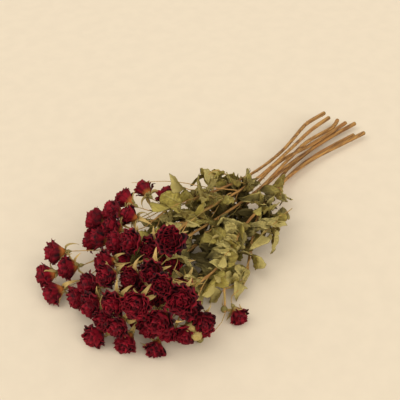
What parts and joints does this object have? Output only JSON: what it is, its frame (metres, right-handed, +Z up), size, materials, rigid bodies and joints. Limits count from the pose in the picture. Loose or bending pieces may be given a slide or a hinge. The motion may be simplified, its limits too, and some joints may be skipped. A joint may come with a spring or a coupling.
{
  "type": "bunch of dried roses",
  "caption": "Bunch of dried spray roses lying on its side: bare woody stems cross at a waist and fan out into dry leaves and small dark red blooms.",
  "frame": {"origin": "centre of the lying bunch's footprint, on the surface that it rests on", "axes": "+X along the stems from the cut ends to the blooms, +Z up, +Y across the bunch"},
  "size_m": [0.5534, 0.2218, 0.0967],
  "materials": {
    "bark": "dry woody rose bark, matt brown, tan where the stalks are young",
    "petal": "dried rose petals, deep crimson, crinkled, faint velvet sheen",
    "leaf": "dried rose leaves, dull olive green, paler underneath, veined and brittle"
  },
  "bodies": {
    "root": {"stem_01": "bark", "stem_02": "bark", "stem_03": "bark", "stem_04": "bark", "stem_05": "bark", "stem_06": "bark", "stem_07": "bark", "stem_08": "bark", "bloom_01": "petal", "bloom_02": "petal", "bloom_03": "petal", "bloom_04": "petal", "bloom_05": "petal", "bloom_06": "petal", "bloom_07": "petal", "bloom_08": "petal", "bloom_09": "petal", "bloom_10": "petal", "bloom_11": "petal", "bloom_12": "petal", "bloom_13": "petal", "bloom_14": "petal", "bloom_15": "petal", "bloom_16": "petal", "bloom_17": "petal", "bloom_18": "petal", "bloom_19": "petal", "bloom_20": "petal", "bloom_21": "petal", "bloom_22": "petal", "bloom_23": "petal", "bloom_24": "petal", "bloom_25": "petal", "bloom_26": "petal", "bloom_27": "petal", "bloom_28": "petal", "bloom_29": "petal", "bloom_30": "petal", "bloom_31": "petal", "bloom_32": "petal", "bloom_33": "petal", "bloom_34": "petal", "bloom_35": "petal", "bloom_36": "petal", "bloom_37": "petal", "bloom_38": "petal", "bloom_39": "petal", "leaf_01": "leaf", "leaf_02": "leaf", "leaf_03": "leaf", "leaf_04": "leaf", "leaf_05": "leaf", "leaf_06": "leaf", "leaf_07": "leaf", "leaf_08": "leaf", "leaf_09": "leaf", "leaf_10": "leaf", "leaf_11": "leaf", "leaf_12": "leaf", "leaf_13": "leaf"}
  },
  "joints": []
}
